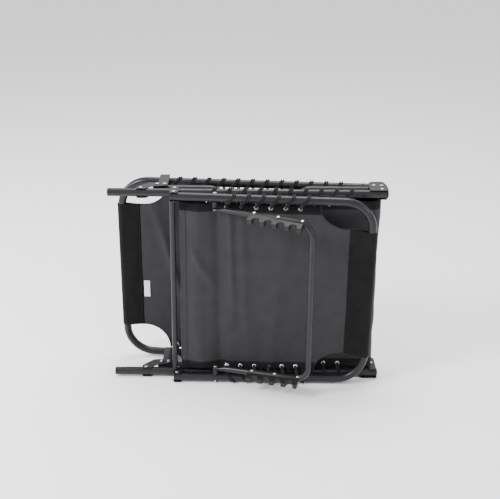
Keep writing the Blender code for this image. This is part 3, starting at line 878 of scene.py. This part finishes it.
def build_cloth():
    def back_relief(x, z):
        """Long soft folds by the hinge end, creases from its upper corner, fullness at the lower."""
        down = 0.5 - z / (2 * FABRIC_EDGE)
        rise = math.sin(math.pi * min(1, down + 0.25))
        ridge = 0.0085 * math.exp(-((x - 0.318 - 0.016 * down) / 0.011) ** 2) * rise
        valley = 0.0080 * math.exp(-((x - 0.287 - 0.010 * down) / 0.015) ** 2)
        second = 0.0055 * math.exp(-((x - 0.350 - 0.020 * down) / 0.013) ** 2) * (1.1 - down)
        swell = 0.0070 * math.exp(-((x - 0.235) / 0.026) ** 2)
        bulge = 0.0065 * math.exp(-((x - 0.250) / 0.028) ** 2 - ((z + 0.188) / 0.035) ** 2)
        run = (x - 0.204) + 0.62 * (z - 0.130)
        crease = 0.0055 * math.exp(-(run / 0.014) ** 2) * math.exp(-((x - 0.235) / 0.05) ** 2)
        sweep_fold = 0.0045 * math.exp(-((x - 0.452 - 0.05 * (0.5 - down)) / 0.022) ** 2)
        return valley - ridge - second - swell - bulge - crease - sweep_fold + ripple(x, z, 1.0, 0.0015)

    def seat_relief(x, z):
        return ripple(x, z, 11.0, 0.0012)

    def foot_relief(x, z):
        """Slack waves, and two slanting creases near the sleeve."""
        slant = 0.0030 * math.exp(-((x - 0.125 + 0.30 * (z - 0.12)) / 0.010) ** 2)
        slant += 0.0024 * math.exp(-((x - 0.165 + 0.22 * (z + 0.02)) / 0.012) ** 2)
        return ripple(x, z, 21.0, 0.0018) - slant

    columns = panel_columns(BACK_CLOTH_START, BACK_CLOTH_WIDE, BACK_CLOTH_END)
    back = panel("backrest_cloth", columns, lambda x: half_width(x, BACK_CLOTH_WIDE, BACK_CLOTH_END),
                 back_depth, BACK_FABRIC_SET, BACK_LACES, back_relief, "backrest", "backrest_fabric",
                 shift=BACK_SHIFT)
    seat = panel("seat_cloth", panel_columns(SEAT_CLOTH_START, SEAT_CLOTH_END, SEAT_CLOTH_END),
                 lambda x: FABRIC_EDGE, seat_depth, 0.0, SEAT_LACES, seat_relief, "seat", "seat_fabric")
    columns = panel_columns(0.0, FOOT_CLOTH_WIDE, FOOT_CLOTH_END)
    foot = panel("foot_cloth", columns, lambda x: half_width(x, FOOT_CLOTH_WIDE, FOOT_CLOTH_END), foot_depth,
                 0.0, FOOT_LACES, foot_relief, "foot_section", "foot_fabric", mirror=FOOT_CLOTH_START,
                 shift=FOOT_SHIFT, edge=FOOT_EDGE)

    extras = {"back": [], "seat": [], "foot": []}
    extras["back"].append(sleeve("backrest_sleeve", BACK_SEAM, BACK_END, back_depth, BACK_FABRIC_SET,
                                 "backrest", 3.0, BACK_SHIFT))
    extras["foot"].append(sleeve("foot_sleeve", FOOT_SEAM, FOOT_END, foot_depth, 0.0,
                                 "foot_section", 7.0, FOOT_SHIFT))
    sets = (("back", "backrest", BACK_LACES, back_depth, BACK_FABRIC_SET, "backrest"),
            ("seat", "seat", SEAT_LACES, seat_depth, 0.0, "seat"),
            ("foot", "foot", FOOT_LACES, foot_depth, 0.0, "foot_section"))
    for key, label, laces, depth, offset, body in sets:
        extras[key].append(eyelet_rings(f"{label}_eyelets", laces, depth, offset, body))
        lacing(f"{label}_lacing", laces, depth, offset, body)

    seams = (("back", "backrest", back_depth, BACK_FABRIC_SET, back_relief, 0.210, 0.560, BACK_SEAM,
              "backrest"),
             ("seat", "seat", seat_depth, 0.0, seat_relief, 0.208, 0.696, None, "seat"),
             ("foot", "foot", foot_depth, 0.0, foot_relief, 0.692, 0.142, FOOT_SEAM, "foot_section"))
    for key, label, depth, offset, relief, begin, stop, seam_x, body in seams:
        bm = bmesh.new()
        lift = FABRIC_THICK / 2 + 0.0002
        for face in (-1, 1):
            for sign in (1, -1):
                for inset in (HEM_EDGE + 0.002, HEM_EDGE + 0.006):
                    z = sign * inset
                    count = round(abs(stop - begin) / STITCH_STEP)
                    line = [begin + (stop - begin) * k / count for k in range(count + 1)]
                    flatter = 1 - 0.6 * (inset - HEM_EDGE) / HEM
                    stitches(bm, [at(x, depth(x, z) + offset + relief(x, z) * flatter + face * lift, z)
                                  for x in line])
            if seam_x:
                direction = 1 if label == "foot" else -1
                x = seam_x - 0.004 * direction
                count = round(2 * SLEEVE_HALF / STITCH_STEP)
                line = [-SLEEVE_HALF + 2 * SLEEVE_HALF * k / count for k in range(count + 1)]
                stitches(bm, [at(x, depth(x, z) + offset + face * 0.0028, z) for z in line])
        extras[key].append(add_object(f"{label}_stitching", bm, [THREAD], body, (), CLOTH_SHARP))

    tapes = (("back", "backrest", back_depth, BACK_FABRIC_SET, BACK_CLOTH_WIDE, BACK_CLOTH_END, None,
              back_relief, BACK_SHIFT, 0.0, "backrest"),
             ("foot", "foot", foot_depth, 0.0, FOOT_CLOTH_WIDE, FOOT_CLOTH_END, FOOT_CLOTH_START,
              foot_relief, FOOT_SHIFT, FOOT_EDGE, "foot_section"))
    for key, label, depth, offset, wide, narrow, mirror, relief, shift, edge, body in tapes:
        bm = bmesh.new()
        binding(bm, depth, offset, wide, narrow, mirror, relief, shift, edge)
        extras[key].append(add_object(f"{label}_binding", bm, [BINDING], body, (), CLOTH_SHARP))

    extras["foot"].append(build_label(foot_relief))
    seat_start, seat_end = SEAT_CLOTH_START, SEAT_CLOTH_END
    back_start, foot_start = BACK_CLOTH_START, FOOT_CLOTH_START
    rear, rear_length = fold_strip("backrest_fold_cloth", lambda z: (seat_start, seat_depth(seat_start, z)),
                                   lambda z: (back_start, back_depth(back_start, z) + BACK_FABRIC_SET),
                                   -0.023, 31.0)
    front, front_length = fold_strip("foot_fold_cloth", lambda z: (seat_end, seat_depth(seat_end, z)),
                                     lambda z: (foot_start, foot_depth(foot_start, z)),
                                     0.029, 37.0)


def build_label(relief):
    """Blank woven tag, sewn on by its two short ends."""
    low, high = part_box("blank_label")
    steps = 12
    bm = bmesh.new()
    uv = bm.loops.layers.uv.verify()
    rows, flats = [], []
    for i in range(steps + 1):
        x = low.x + (high.x - low.x) * i / steps - ORIGIN.x
        row, flat = [], []
        for j in range(2 * steps + 1):
            z = low.z + (high.z - low.z) * j / (2 * steps) - ORIGIN.z
            share = j / (2 * steps)
            lift = 0.0015 + 0.0016 * math.sin(math.pi * share) ** 2 * (0.4 + 0.6 * i / steps)
            row.append(bm.verts.new(at(x, foot_depth(x, z) + relief(x, z) - lift, z)))
            flat.append((x, z))
        rows.append(row)
        flats.append(flat)
    for i in range(steps):
        for j in range(2 * steps):
            grid_face(bm, uv, rows, flats, i, j)
    tag = add_object("blank_label_tag", bm, [LABEL], "foot_section", ["blank_label"], CLOTH_SHARP)
    thicken(tag, 0.0004)
    return tag


# --------------------------------------------------------------------- stage
def build_stage():
    mat, _, shader = new_material("stage_floor", 0.9)
    shader.inputs["Base Color"].default_value = (0.95, 0.95, 0.95, 1)
    bm = bmesh.new()
    reach = 30.0
    corners = ((-reach, -reach), (reach, -reach), (reach, reach), (-reach, reach))
    bm.faces.new([bm.verts.new((x, y, 0)) for x, y in corners])
    mesh = bpy.data.meshes.new("floor")
    bm.to_mesh(mesh)
    bm.free()
    mesh.materials.append(mat)
    floor = bpy.data.objects.new("floor", mesh)
    bpy.context.scene.collection.objects.link(floor)

    world = bpy.data.worlds.new("studio")
    world.use_nodes = True
    world.node_tree.nodes["Background"].inputs["Color"].default_value = (1, 1, 1, 1)
    world.node_tree.nodes["Background"].inputs["Strength"].default_value = 1.25
    bpy.context.scene.world = world

    lamps = (("key", (-2.4, -1.6, 2.4), 1.0, 150.0), ("rim", (-2.6, 0.4, 1.4), 1.0, 40.0),
             ("fill", (2.6, -1.6, 1.6), 1.2, 24.0), ("top", (0.1, 0.9, 3.4), 1.6, 95.0))
    for name, place, size, power in lamps:
        light = bpy.data.lights.new(name, "AREA")
        light.size = size
        light.energy = power
        lamp = bpy.data.objects.new(name, light)
        bpy.context.scene.collection.objects.link(lamp)
        lamp.location = place
        aim = Vector((0, 0, 0.25)) - Vector(place)
        lamp.rotation_euler = aim.to_track_quat("-Z", "Y").to_euler()


def build_camera():
    place = (-0.01507, -2.37177, 1.31755)
    yaw, pitch, roll = 0.009214, 0.373385, 0.01066
    ahead = Vector((math.sin(yaw) * math.cos(pitch), math.cos(yaw) * math.cos(pitch), -math.sin(pitch)))
    level = Vector((math.cos(yaw), -math.sin(yaw), 0))
    above = level.cross(ahead)
    right = level * math.cos(roll) + above * math.sin(roll)
    up = above * math.cos(roll) - level * math.sin(roll)
    lens = bpy.data.cameras.new("camera")
    lens.sensor_width = 36.0
    lens.lens = 68.24
    camera = bpy.data.objects.new("camera", lens)
    bpy.context.scene.collection.objects.link(camera)
    axes = Matrix((right, up, -ahead)).transposed()
    camera.matrix_world = Matrix.Translation(place) @ axes.to_4x4()
    bpy.context.scene.camera = camera


build_camera()
build_stage()
build_tubes()
build_plugs()
build_rivets()
build_racks()
build_spacers()
build_cloth()
dress_cad_nodes()
